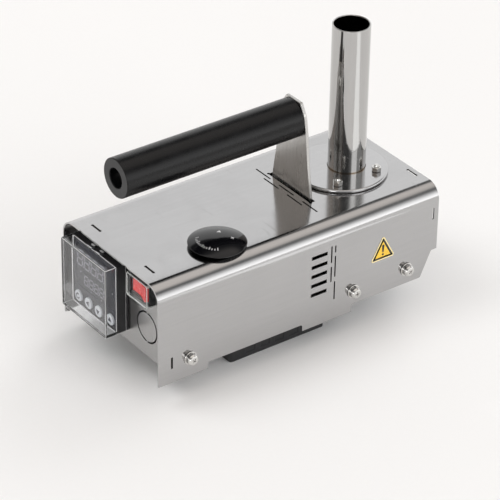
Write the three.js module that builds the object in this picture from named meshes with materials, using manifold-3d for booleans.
// Cordless oxalic-acid bee smoker: a folded stainless box with a heated vapour chamber under a
// filler tube, a temperature controller and rocker switch on the front panel, a dial on the lid,
// a sleeve grip on an upright steel plate, and a slide-in battery dock underneath.
//
// Millimetres. Inside the group: X to the right, Y from the front edge of the cover backwards,
// Z up from the bottom of the cover's front skids. The group itself is moved so that the
// origin is the bottom centre of the whole object.

import * as THREE from 'three';
import { mergeVertices } from 'three/addons/utils/BufferGeometryUtils.js';
import Module from 'manifold-3d';

const wasm = await Module();
wasm.setup();

// ---------- driving dimensions ----------

const gap = 0.3;

const coverHalf = 51.2;
const coverLength = 212;
const coverHeight = 68.2;
const coverSheet = 1.0;
const coverBend = 8;
const skidLength = 36;
const reliefHeight = 4.6;
const footFront = 107;
const footRear = 145;
const rearRelief = 5.5;
const chamferFront = 199.6;
const chamferRear = 207.7;
const chamferTop = 22.9;

const traySheet = 1.2;
const trayHalf = 49.8;
const trayBottom = 5.6;
const panelFront = 9.2;
const panelTop = 66.8;
const rearPanelFront = 207.4;
const tabWidth = 8;
const tabX = 28.4;

const controllerX = -17.2;
const controllerZ = 37.6;
const bezelSize = 48;
const bezelFront = 0.5;
const bezelRear = 7.2;
const caseSize = 44.4;
const caseRear = 78;
const keyPitch = 11;
const keyRadius = 3.7;
const keyZ = 21;
const keyTravel = 0.6;
const clearFront = -7.9;
const clearWall = 1.6;

const switchX = 25.2;
const switchZ = 54.3;
const switchFrameFront = 4.4;
const rockerPivot = 9.0;
const rockerTilt = THREE.MathUtils.degToRad(9);
const knockoutX = 25.9;
const knockoutZ = 26.2;
const knockoutRadius = 10.2;

const knobX = 29.1;
const knobY = 58;
const knobRadius = 18.2;

const plateFront = 134.8;
const plateSheet = 2;
const plateTop = 131;
const gripZ = 118.2;
const gripRadius = 12.7;
const gripBore = 6.4;
const gripFront = 5;

const tubeY = 178.2;
const tubeRadius = 12;
const tubeTop = 169.5;
const flangeY = 173.4;
const flangeRadius = 30;
const flangeBottom = coverHeight + gap;
const flangeTop = flangeBottom + 2;
const studX = 17;
const studY = 15.2;

const chamberRadius = 23;
const chamberBottom = 24;
const chamberTop = coverHeight - coverSheet - gap;
const outletZ = 34;
const nozzleRadius = 6;
const nozzleTip = 234;

const dockHalf = 38.5;
const dockFront = 61.8;
const dockRear = 134;
const dockBottom = -13.5;
const dockTop = trayBottom - gap;

const sideScrews = [
  { y: 22.9, z: 13 },
  { y: 146, z: 15 },
  { y: 188, z: 16 },
];

// ---------- shape helpers ----------

const axisX = new THREE.Vector3(1, 0, 0);
const axisY = new THREE.Vector3(0, 1, 0);
const axisZ = new THREE.Vector3(0, 0, 1);

function toSolid(geometry) {
  const bare = geometry.clone();
  bare.deleteAttribute('normal');
  bare.deleteAttribute('uv');
  const merged = mergeVertices(bare, 1e-4);
  const vertProperties = new Float32Array(merged.attributes.position.array);
  const triVerts = new Uint32Array(merged.index.array);
  return new wasm.Manifold(new wasm.Mesh({ numProp: 3, vertProperties, triVerts }));
}

function toGeometry(solid) {
  const mesh = solid.getMesh();
  const geometry = new THREE.BufferGeometry();
  geometry.setAttribute('position', new THREE.BufferAttribute(new Float32Array(mesh.vertProperties), 3));
  geometry.setIndex(new THREE.BufferAttribute(new Uint32Array(mesh.triVerts), 1));
  geometry.computeVertexNormals();
  return geometry;
}

function build(base, { add = [], cut = [] } = {}) {
  let solid = toSolid(base);
  for (const piece of add) solid = solid.add(toSolid(piece));
  for (const piece of cut) solid = solid.subtract(toSolid(piece));
  return toGeometry(solid);
}

function box(x0, x1, y0, y1, z0, z1) {
  const geometry = new THREE.BoxGeometry(x1 - x0, y1 - y0, z1 - z0);
  return geometry.translate((x0 + x1) / 2, (y0 + y1) / 2, (z0 + z1) / 2);
}

// A straight round bar between two distances along Z, centred on x, y.
function barZ(x, y, z0, z1, radius, sides = 32, topRadius = radius) {
  const geometry = new THREE.CylinderGeometry(topRadius, radius, z1 - z0, sides);
  return geometry.rotateX(Math.PI / 2).translate(x, y, (z0 + z1) / 2);
}

function barY(x, z, y0, y1, radius, sides = 32) {
  const geometry = new THREE.CylinderGeometry(radius, radius, y1 - y0, sides);
  return geometry.translate(x, (y0 + y1) / 2, z);
}

function barX(y, z, x0, x1, radius, sides = 16) {
  const geometry = new THREE.CylinderGeometry(radius, radius, x1 - x0, sides);
  return geometry.rotateZ(Math.PI / 2).translate((x0 + x1) / 2, y, z);
}

// An outline with its corners rounded by the given radius.
function outline(points, radius = 0) {
  const shape = new THREE.Shape();
  const count = points.length;
  points.forEach((point, i) => {
    const before = new THREE.Vector2(...points[(i + count - 1) % count]);
    const corner = new THREE.Vector2(...point);
    const after = new THREE.Vector2(...points[(i + 1) % count]);
    const start = corner.clone().add(before.sub(corner).setLength(radius));
    const end = corner.clone().add(after.sub(corner).setLength(radius));
    if (i === 0) shape.moveTo(start.x, start.y);
    else shape.lineTo(start.x, start.y);
    if (radius > 0) shape.quadraticCurveTo(corner.x, corner.y, end.x, end.y);
  });
  shape.closePath();
  return shape;
}

function rectangle(x0, x1, y0, y1, radius = 0) {
  return outline([[x0, y0], [x1, y0], [x1, y1], [x0, y1]], radius);
}

// The shape's own x and y become X and Z, and it is drawn out from y0 to y1.
function alongY(shape, y0, y1, curveSegments = 4) {
  const geometry = new THREE.ExtrudeGeometry(shape, { depth: y1 - y0, bevelEnabled: false, curveSegments });
  const turn = new THREE.Matrix4().makeBasis(axisX, axisZ, axisY.clone().negate());
  return geometry.applyMatrix4(turn).translate(0, y1, 0);
}

// The shape's own x and y become Y and Z, and it is drawn out from x0 to x1.
function alongX(shape, x0, x1, curveSegments = 4) {
  const geometry = new THREE.ExtrudeGeometry(shape, { depth: x1 - x0, bevelEnabled: false, curveSegments });
  const turn = new THREE.Matrix4().makeBasis(axisY, axisZ, axisX);
  return geometry.applyMatrix4(turn).translate(x0, 0, 0);
}

// The shape's own x and y stay X and Y.
function alongZ(shape, z0, z1, curveSegments = 4) {
  const geometry = new THREE.ExtrudeGeometry(shape, { depth: z1 - z0, bevelEnabled: false, curveSegments });
  return geometry.translate(0, 0, z0);
}

// A turned piece: pairs of radius and height that start and end on the axis.
function turned(profile, sides = 32) {
  const points = profile.map(([radius, height]) => new THREE.Vector2(radius, height));
  return new THREE.LatheGeometry(points, sides).rotateX(Math.PI / 2);
}

function hexagon(acrossFlats, thickness) {
  const radius = acrossFlats / Math.sqrt(3);
  return new THREE.CylinderGeometry(radius, radius, thickness, 6).rotateX(Math.PI / 2);
}

const smoker = new THREE.Group();

function place(name, geometry, colour, roughness, metalness, parent = smoker) {
  const material = new THREE.MeshStandardMaterial({ color: colour, roughness, metalness });
  const mesh = new THREE.Mesh(geometry, material);
  mesh.name = name;
  parent.add(mesh);
  return mesh;
}

const steel = (name, geometry, parent) => place(name, geometry, 0xc4c3c1, 0.3, 1, parent);
const blackPlastic = (name, geometry, parent) => place(name, geometry, 0x1a1a1b, 0.5, 0, parent);

// ---------- folded cover ----------

// Half-round-shouldered arch of the folded sheet, closed along its bottom.
function arch(half, top, bottom, bend) {
  const shape = new THREE.Shape();
  shape.moveTo(-half, bottom);
  shape.lineTo(half, bottom);
  shape.lineTo(half, top - bend);
  shape.absarc(half - bend, top - bend, bend, 0, Math.PI / 2, false);
  shape.lineTo(-half + bend, top);
  shape.absarc(-half + bend, top - bend, bend, Math.PI / 2, Math.PI, false);
  shape.closePath();
  return shape;
}

// A narrow cut through both side walls.
const sideSlot = (y0, y1, z0, z1) => box(-coverHalf - 2, coverHalf + 2, y0, y1, z0, z1);
const topSlot = (x0, x1, y0, y1) => box(x0, x1, y0, y1, coverHeight - 3, coverHeight + 2);

function coverCuts() {
  const cuts = [];
  const throughX = coverHalf + 2;
  cuts.push(sideSlot(skidLength, footFront, -2, reliefHeight));
  const rearOutline = new THREE.Shape();
  rearOutline.moveTo(footRear, -2);
  rearOutline.lineTo(coverLength + 2, -2);
  rearOutline.lineTo(coverLength + 2, chamferTop);
  rearOutline.lineTo(chamferRear, chamferTop);
  rearOutline.lineTo(chamferFront, rearRelief);
  rearOutline.lineTo(footRear, rearRelief);
  rearOutline.closePath();
  cuts.push(alongX(rearOutline, -throughX, throughX));

  // slots for the tabs of the front and rear panels
  const tabHalf = tabWidth / 2;
  for (const y of [panelFront, rearPanelFront + 0.2]) {
    for (const side of [-1, 1]) {
      cuts.push(topSlot(side * tabX - tabHalf, side * tabX + tabHalf, y - 0.4, y + 1.3));
    }
  }
  cuts.push(sideSlot(panelFront - 0.4, panelFront + 1.3, 10, 18));
  cuts.push(sideSlot(rearPanelFront - 0.2, rearPanelFront + 1.5, 45.4, 53.4));

  // five louvre slots in each side wall
  for (let i = 0; i < 5; i += 1) {
    const z = 22 + i * 6.67;
    cuts.push(sideSlot(113, 125, z, z + 2.5));
  }

  // staggered narrow slots that slow the heat on its way forward
  for (const x of [-24, 0, 24]) cuts.push(topSlot(x - 6.5, x + 8.5, 130.2, 131));
  for (const x of [-12, 12]) cuts.push(topSlot(x - 6.5, x + 8.9, 127.3, 128.1));
  for (const [z0, z1] of [[41.8, 53.7], [28, 38.9]]) cuts.push(sideSlot(127.8, 128.6, z0, z1));
  for (const [z0, z1] of [[48.4, 53.3], [30.9, 45.9], [14.5, 27.5]]) cuts.push(sideSlot(130.7, 131.5, z0, z1));

  // slot for the handle plate, and the round holes
  cuts.push(topSlot(-21.5, 21.8, 133.2, plateFront + plateSheet + 0.4));
  cuts.push(barZ(0, tubeY, coverHeight - 3, coverHeight + 2, tubeRadius + 3));
  cuts.push(barZ(knobX, knobY, coverHeight - 3, coverHeight + 2, 4, 20));
  for (const x of [-studX, studX]) {
    for (const y of [-studY, studY]) cuts.push(barZ(x, flangeY + y, coverHeight - 3, coverHeight + 2, 2, 12));
  }
  for (const { y, z } of sideScrews) cuts.push(barX(y, z, -throughX, throughX, 2.3, 12));
  return cuts;
}

const innerHalf = coverHalf - coverSheet;
const innerArch = arch(innerHalf, coverHeight - coverSheet, -2, coverBend - coverSheet);
steel('cover', build(alongY(arch(coverHalf, coverHeight, 0, coverBend), 0, coverLength, 8), {
  cut: [alongY(innerArch, -2, coverLength + 2, 8), ...coverCuts()],
}));

// ---------- tray with front panel, and rear panel ----------

function panelTabs(y0, y1, sideLow) {
  const tabs = [];
  const tabHalf = tabWidth / 2 - 0.4;
  const tip = 0.7;
  for (const side of [-1, 1]) {
    tabs.push(box(side * tabX - tabHalf, side * tabX + tabHalf, y0, y1, panelTop - 1, panelTop + tip));
  }
  tabs.push(box(-trayHalf - tip, trayHalf + tip, y0, y1, sideLow, sideLow + 2 * tabHalf));
  return tabs;
}

const panelBend = coverBend - coverSheet - 0.2;
const panelRear = panelFront + traySheet;
const caseHole = caseSize / 2 + 0.4;
const sideFlangeTop = 21.5;
const trayRear = 178;

const knockoutGroove = build(barY(knockoutX, knockoutZ, panelFront - 1, panelFront + 0.9, knockoutRadius + 0.3), {
  cut: [barY(knockoutX, knockoutZ, panelFront - 2, panelFront + 2, knockoutRadius - 0.3)],
});

steel('base_tray', build(box(-trayHalf, trayHalf, panelFront, 199, trayBottom, trayBottom + traySheet), {
  add: [
    alongY(arch(trayHalf, panelTop, trayBottom, panelBend), panelFront, panelRear, 5),
    box(-trayHalf, -trayHalf + traySheet, panelFront, trayRear, trayBottom, sideFlangeTop),
    box(trayHalf - traySheet, trayHalf, panelFront, trayRear, trayBottom, sideFlangeTop),
    ...panelTabs(panelFront, panelFront + 0.9, 10.4),
  ],
  cut: [
    box(controllerX - caseHole, controllerX + caseHole, 5, 15, controllerZ - caseHole, controllerZ + caseHole),
    box(switchX - 9.7, switchX + 9.7, 5, 15, switchZ - 6.6, switchZ + 6.6),
    knockoutGroove,
    ...sideScrews.slice(0, 2).map(({ y, z }) => barX(y, z, -60, 60, 2.2, 12)),
  ],
}));

// Upright rear sheet with its lower edge folded forwards under the chamfer.
const foldedRear = new THREE.Shape();
foldedRear.moveTo(rearPanelFront, panelTop - 10);
foldedRear.lineTo(rearPanelFront, chamferTop + 0.6);
foldedRear.lineTo(chamferFront, trayBottom + traySheet + 0.2);
foldedRear.lineTo(chamferFront + 0.5, trayBottom + 0.3);
foldedRear.lineTo(rearPanelFront + traySheet, chamferTop + 0.3);
foldedRear.lineTo(rearPanelFront + traySheet, panelTop - 10);
foldedRear.closePath();

steel('rear_panel', build(alongX(foldedRear, -trayHalf, trayHalf), {
  add: [
    alongY(arch(trayHalf, panelTop, 40, panelBend), rearPanelFront, rearPanelFront + traySheet, 5),
    box(-trayHalf, -trayHalf + traySheet, trayRear + 0.6, 202.5, 8, sideFlangeTop),
    box(trayHalf - traySheet, trayHalf, trayRear + 0.6, 202.5, 8, sideFlangeTop),
    ...panelTabs(rearPanelFront, rearPanelFront + 0.9, 45.8),
  ],
  cut: [
    barY(0, outletZ, 200, 215, nozzleRadius + 0.6, 24),
    barX(sideScrews[2].y, sideScrews[2].z, -60, 60, 2.2, 12),
  ],
}));

// ---------- temperature controller ----------

function squareAt(size, y0, y1, radius = 0) {
  const half = size / 2;
  const shape = rectangle(controllerX - half, controllerX + half, controllerZ - half, controllerZ + half, radius);
  return alongY(shape, y0, y1);
}

const faceFront = bezelFront + 0.1;
const faceRear = faceFront + 1.6;
const windowShape = (inset) => rectangle(-37 + inset, 2.6 - inset, 28.5 + inset, 56.5 - inset, 0.8);

blackPlastic('controller_housing', build(squareAt(bezelSize, bezelFront, bezelRear, 1.2), {
  add: [squareAt(caseSize, bezelRear - 1, caseRear, 0.8)],
  cut: [squareAt(bezelSize - 4, -1, faceRear + gap, 0.6), squareAt(caseSize - 3, 10, caseRear + 1)],
}));

const keyNames = ['key_set', 'key_shift', 'key_down', 'key_up'];
const keyX = keyNames.map((_, i) => controllerX + (i - 1.5) * keyPitch);

blackPlastic('controller_face', build(squareAt(bezelSize - 4.6, faceFront, faceRear, 0.6), {
  cut: [
    alongY(windowShape(0), -1, 5),
    ...keyX.map((x) => barY(x, keyZ, -1, 5, keyRadius + gap, 24)),
  ],
}));
place('display_window', alongY(windowShape(gap), faceFront + 0.1, faceRear), 0x2a2430, 0.15, 0);

keyNames.forEach((name, i) => {
  const key = place(name, barY(0, 0, 0, faceRear - faceFront + 1 - keyTravel, keyRadius, 24), 0xe6e7ea, 0.5, 0);
  key.position.set(keyX[i], bezelFront - 1, keyZ);
});

const clearSize = bezelSize;
const clearTop = controllerZ + clearSize / 2;
const clearBottom = controllerZ - clearSize / 2;
const clearLeft = controllerX - clearSize / 2;
place('clear_cover', build(squareAt(clearSize, clearFront, bezelFront - gap, 1.2), {
  add: [
    box(-24, -19.4, -5, 5.6, clearTop - 0.8, clearTop + 1.2),
    box(-14.8, -10.2, -5, 5.6, clearTop - 0.8, clearTop + 1.2),
    box(clearLeft + 3.6, clearLeft + 6.8, clearFront, clearFront + 1.6, clearBottom - 1.9, clearBottom + 1),
  ],
  cut: [
    squareAt(clearSize - 2 * clearWall, clearFront + clearWall, 3, 0.6),
    box(-25, -9, bezelFront - gap, 6, clearTop - 1, clearTop + gap),
  ],
}), 0xdfe4e8, 0.08, 0);

place('controller_gasket', build(squareAt(bezelSize - 0.8, bezelRear + 0.25, panelFront - 0.25), {
  cut: [squareAt(caseSize + 0.7, 0, 20)],
}), 0x0c0c0c, 0.8, 0);

blackPlastic('mounting_clamp', build(squareAt(bezelSize + 2, panelRear + gap, 17, 1), {
  add: [
    box(controllerX - 4, controllerX + 4, panelRear + gap, 30, clearTop - 1.2, clearTop + 1),
    box(controllerX - 4, controllerX + 4, panelRear + gap, 30, clearBottom - 1, clearBottom + 1.2),
  ],
  cut: [squareAt(caseSize + 0.7, 0, 40)],
}));

const terminalSlots = [0, 1, 2, 3, 4].map((i) => {
  const z = controllerZ - 16 + i * 8;
  return box(controllerX - 30, controllerX + 30, 84, 90, z - 2.5, z + 2.5);
});
place('terminal_block', build(squareAt(caseSize - 4, caseRear - 3, 88, 0.6), {
  cut: terminalSlots,
}), 0x1f4a36, 0.6, 0);

// ---------- rocker switch and its clear boot ----------

function switchBox(halfX, halfZ, y0, y1, radius = 0) {
  const shape = rectangle(switchX - halfX, switchX + halfX, switchZ - halfZ, switchZ + halfZ, radius);
  return alongY(shape, y0, y1);
}

const frameRear = panelFront - gap;
blackPlastic('switch_housing', build(switchBox(10.2, 7.3, switchFrameFront, frameRear, 0.8), {
  add: [switchBox(9.3, 6.2, frameRear - 1, 25)],
  cut: [switchBox(9, 5.1, 0, frameRear - 0.2), switchBox(3.4, 5.1, 0, 13)],
}));

// Seen from above: two faces that meet in a shallow valley, and a hub at the pivot.
const rockerShape = new THREE.Shape();
rockerShape.moveTo(-8.1, -4.6);
rockerShape.lineTo(0, -3.2);
rockerShape.lineTo(8.1, -4.6);
rockerShape.lineTo(8.1, -1.7);
rockerShape.lineTo(2.2, -1.4);
rockerShape.lineTo(1.2, 2.2);
rockerShape.lineTo(-1.2, 2.2);
rockerShape.lineTo(-2.2, -1.4);
rockerShape.lineTo(-8.1, -1.7);
rockerShape.closePath();
const rockerBlock = alongZ(rockerShape, -4.8, 4.8);
const rocker = place('rocker', rockerBlock, 0xd42a26, 0.35, 0);
rocker.position.set(switchX, rockerPivot, switchZ);
rocker.rotation.z = -rockerTilt;

const bootWall = 0.7;
place('switch_boot', build(switchBox(11.2, 8.3, 1.9, frameRear, 1.4), {
  cut: [switchBox(11.2 - bootWall, 8.3 - bootWall, 1.9 + bootWall, 12, 0.9)],
}), 0xd8dcd8, 0.2, 0);

for (const [name, x] of [['switch_terminal_left', -4.6], ['switch_terminal_right', 4.6]]) {
  const blade = place(name, new THREE.BoxGeometry(0.8, 8, 4.8), 0xc9a86a, 0.35, 1);
  blade.position.set(switchX + x, 25 + gap + 4, switchZ);
}

// ---------- dial on the lid ----------

const knobProfile = [
  [0, 2.4], [7.5, 2.4], [7.5, 0], [16.8, 0], [knobRadius, 0.5], [knobRadius, 2.5], [17.3, 3.3],
  [14, 4.4], [9, 5.4], [4, 5.8], [0, 5.9],
];
const knob = place('knob', build(turned(knobProfile, 40), {
  cut: [barZ(0, 0, 1, 4.2, 3.2, 16)],
}), 0x0d0d0e, 0.15, 0);
knob.position.set(knobX, knobY, coverHeight + gap);

const spindle = place('knob_spindle', barZ(0, 0, -10, 3.8, 2.9, 16), 0xb8b6b0, 0.3, 1);
spindle.position.copy(knob.position);

const controlNut = steel('control_nut', build(hexagon(10, 1.6), { cut: [barZ(0, 0, -3, 3, 3.8, 20)] }));
controlNut.position.set(knobX, knobY, coverHeight + gap + 0.9);

const control = blackPlastic('control_body', build(barZ(0, 0, -12, -1.6, 8.2, 24), {
  add: [barZ(0, 0, -3, 1.6, 3.5, 20)],
  cut: [barZ(0, 0, -11, 3, 3.1, 16)],
}));
control.position.copy(knob.position);

// ---------- handle ----------

const plateSide = [[19.5, coverHeight], [15.9, 91], [13.3, 115], [11.4, 124], [7, plateTop]];
const plateShape = new THREE.Shape();
plateShape.moveTo(-19.5, 8);
plateShape.lineTo(19.5, 8);
for (const [x, z] of plateSide) plateShape.lineTo(x, z);
for (const [x, z] of [...plateSide].reverse()) plateShape.lineTo(-x, z);
plateShape.closePath();

const plateRear = plateFront + plateSheet;
steel('handle_plate', build(alongY(plateShape, plateFront, plateRear), {
  add: [box(-19.5, 19.5, plateRear - 1, plateRear + 12, trayBottom + traySheet + gap, 9.1)],
  cut: [barY(0, gripZ, 130, 140, 2.8, 16)],
}));

steel('handle_rod', build(barY(0, gripZ, 12, plateFront - gap, 6, 24), {
  cut: [barY(0, gripZ, 118, 140, 2.8, 16)],
}));

place('handle_grip', build(barY(0, gripZ, gripFront, plateFront - gap, gripRadius, 40), {
  cut: [barY(0, gripZ, 0, 140, gripBore, 28)],
}), 0x1c1c1e, 0.7, 0);

steel('handle_bolt', build(barY(0, gripZ, 122, 138, 2.5, 16), {
  add: [barY(0, gripZ, plateRear + gap, plateRear + gap + 2.4, 5.2, 20)],
  cut: [barY(0, gripZ, plateRear + 1.4, plateRear + 4, 1.7, 6)],
}));

// ---------- filler tube and flange ----------

steel('filler_tube', build(barZ(0, tubeY, 52, tubeTop, tubeRadius, 48), {
  cut: [barZ(0, tubeY, 40, tubeTop + 5, tubeRadius - 1, 40)],
}));

const flangeProfile = [
  [0, 0], [flangeRadius - 0.5, 0], [flangeRadius, 0.6], [flangeRadius, 1.4], [flangeRadius - 0.6, 2], [0, 2],
];
const studSpots = [];
for (const x of [-studX, studX]) {
  for (const y of [-studY, studY]) studSpots.push([x, flangeY + y]);
}
const flangeDisc = turned(flangeProfile, 56).translate(0, flangeY, flangeBottom);
steel('tube_flange', build(flangeDisc, {
  cut: [
    barZ(0, tubeY, 60, 80, tubeRadius + gap, 40),
    ...studSpots.map(([x, y]) => barZ(x, y, 60, 80, 1.8, 12)),
  ],
}));

const nutSolid = build(hexagon(5.5, 2.8), { cut: [barZ(0, 0, -3, 3, 1.75, 12)] });
const studSolid = barZ(0, 0, -6, 4.6, 1.5, 12);
studSpots.forEach(([x, y], i) => {
  const nut = steel(`flange_nut_${i + 1}`, nutSolid);
  nut.position.set(x, y, flangeTop + gap + 1.4);
  const stud = steel(`flange_stud_${i + 1}`, studSolid);
  stud.position.set(x, y, flangeTop);
});

// ---------- vapour chamber, heaters, insulation and outlet ----------

const heaterOffset = 17.6;
const cupFloor = outletZ - 5;
const chamberPlate = barZ(0, flangeY, chamberTop - 3, chamberTop, 27, 40);
place('vapour_chamber', build(barZ(0, tubeY, chamberBottom, chamberTop, chamberRadius, 40), {
  add: [chamberPlate],
  cut: [
    barZ(0, tubeY, 51.7, 80, tubeRadius + gap, 32),
    barZ(0, tubeY, cupFloor, 60, tubeRadius - 1, 32),
    barY(0, outletZ, tubeY, tubeY + 40, 4, 16),
    barZ(-heaterOffset, tubeY, 20, 60, 3.4, 12),
    barZ(heaterOffset, tubeY, 20, 60, 3.4, 12),
    barZ(0, tubeY - heaterOffset, 20, 46, 1.8, 8),
    ...studSpots.map(([x, y]) => barZ(x, y, 60, 80, 1.8, 12)),
  ],
}), 0xb9a06a, 0.4, 1);

for (const [name, side] of [['cartridge_heater_left', -1], ['cartridge_heater_right', 1]]) {
  steel(name, barZ(side * heaterOffset, tubeY, 18, 58, 3.1, 16));
}
steel('thermocouple', barZ(0, tubeY - heaterOffset, 14, 45, 1.5, 10));

place('insulation_sleeve', build(barZ(0, tubeY, 25, 62, 28.2, 36), {
  cut: [
    barZ(0, tubeY, 10, 80, chamberRadius + gap, 36),
    barY(0, outletZ, tubeY + 10, tubeY + 40, nozzleRadius + gap, 20),
  ],
}), 0xd9d2c2, 0.95, 0);

const chamberOuter = tubeY + chamberRadius + gap;
steel('outlet_nozzle', build(barY(0, outletZ, chamberOuter, nozzleTip, nozzleRadius, 28), {
  cut: [barY(0, outletZ, 190, nozzleTip + 5, 4, 20)],
}));

// ---------- power parts ----------

const relayFins = [0, 1, 2, 3, 4].map((i) => box(-24 + i * 10, -19 + i * 10, 92, 128, 21, 30));
place('power_relay', build(box(-29, 29, 94, 126, trayBottom + traySheet + gap, 28), {
  cut: relayFins,
}), 0x3b3f42, 0.6, 0);

// The dock's underside is a slot that a battery slides into from the rear, under two lips.
const slotHalf = 28;
const lipHalf = 24;
const slotFront = dockFront + 5;
blackPlastic('battery_dock', build(alongY(
  rectangle(-dockHalf, dockHalf, dockBottom, dockTop, 0), dockFront, dockRear,
), {
  cut: [
    box(-lipHalf, lipHalf, slotFront, dockRear + 2, dockBottom - 2, -1),
    box(-slotHalf, slotHalf, slotFront, dockRear + 2, dockBottom + 4.5, -1),
  ],
}));

for (const [name, x] of [['dock_contact_left', -10], ['dock_contact_right', 10]]) {
  const blade = place(name, new THREE.BoxGeometry(0.8, 11, 6), 0xc9a86a, 0.35, 1);
  blade.position.set(x, slotFront + gap + 5.5, -5);
}

// ---------- side screws with their washers ----------

// Local Z runs out of the wall: a pan head over a spring washer and a flat washer.
const headProfile = [[0, 2.2], [3.7, 2.2], [3.7, 3.4], [3.2, 4.3], [2, 4.8], [0, 4.9]];
const screwSolid = build(turned(headProfile, 20), {
  add: [barZ(0, 0, -6, 2.6, 1.9, 12)],
  cut: [box(-2, 2, -0.4, 0.4, 3.6, 6), box(-0.4, 0.4, -2, 2, 3.6, 6)],
});
const washerSolid = build(barZ(0, 0, 0.25, 1.05, 4.5, 24), {
  add: [barZ(0, 0, 1, 1.95, 3.9, 20)],
  cut: [barZ(0, 0, -1, 4, 2.15, 16)],
});
let screwNumber = 0;
for (const side of [1, -1]) {
  for (const { y, z } of sideScrews) {
    screwNumber += 1;
    const stack = new THREE.Group();
    stack.position.set(side * coverHalf, y, z);
    stack.rotation.y = side * Math.PI / 2;
    steel(`side_screw_${screwNumber}`, screwSolid, stack);
    steel(`side_washer_${screwNumber}`, washerSolid, stack);
    smoker.add(stack);
  }
}

// ---------- caution label on the right wall ----------

const labelSide = 19.5;
const labelHeight = labelSide * Math.sqrt(3) / 2;
const labelShape = outline([
  [168.4 - labelSide / 2, 30.2], [168.4 + labelSide / 2, 30.2], [168.4, 30.2 + labelHeight],
], 1.2);
place('caution_label', alongX(labelShape, coverHalf + 0.02, coverHalf + 0.22, 3), 0xf2c93c, 0.4, 0);

// ---------- origin at the bottom centre of the whole object ----------

smoker.position.set(0, -(clearFront + nozzleTip) / 2, -dockBottom);

export default smoker;
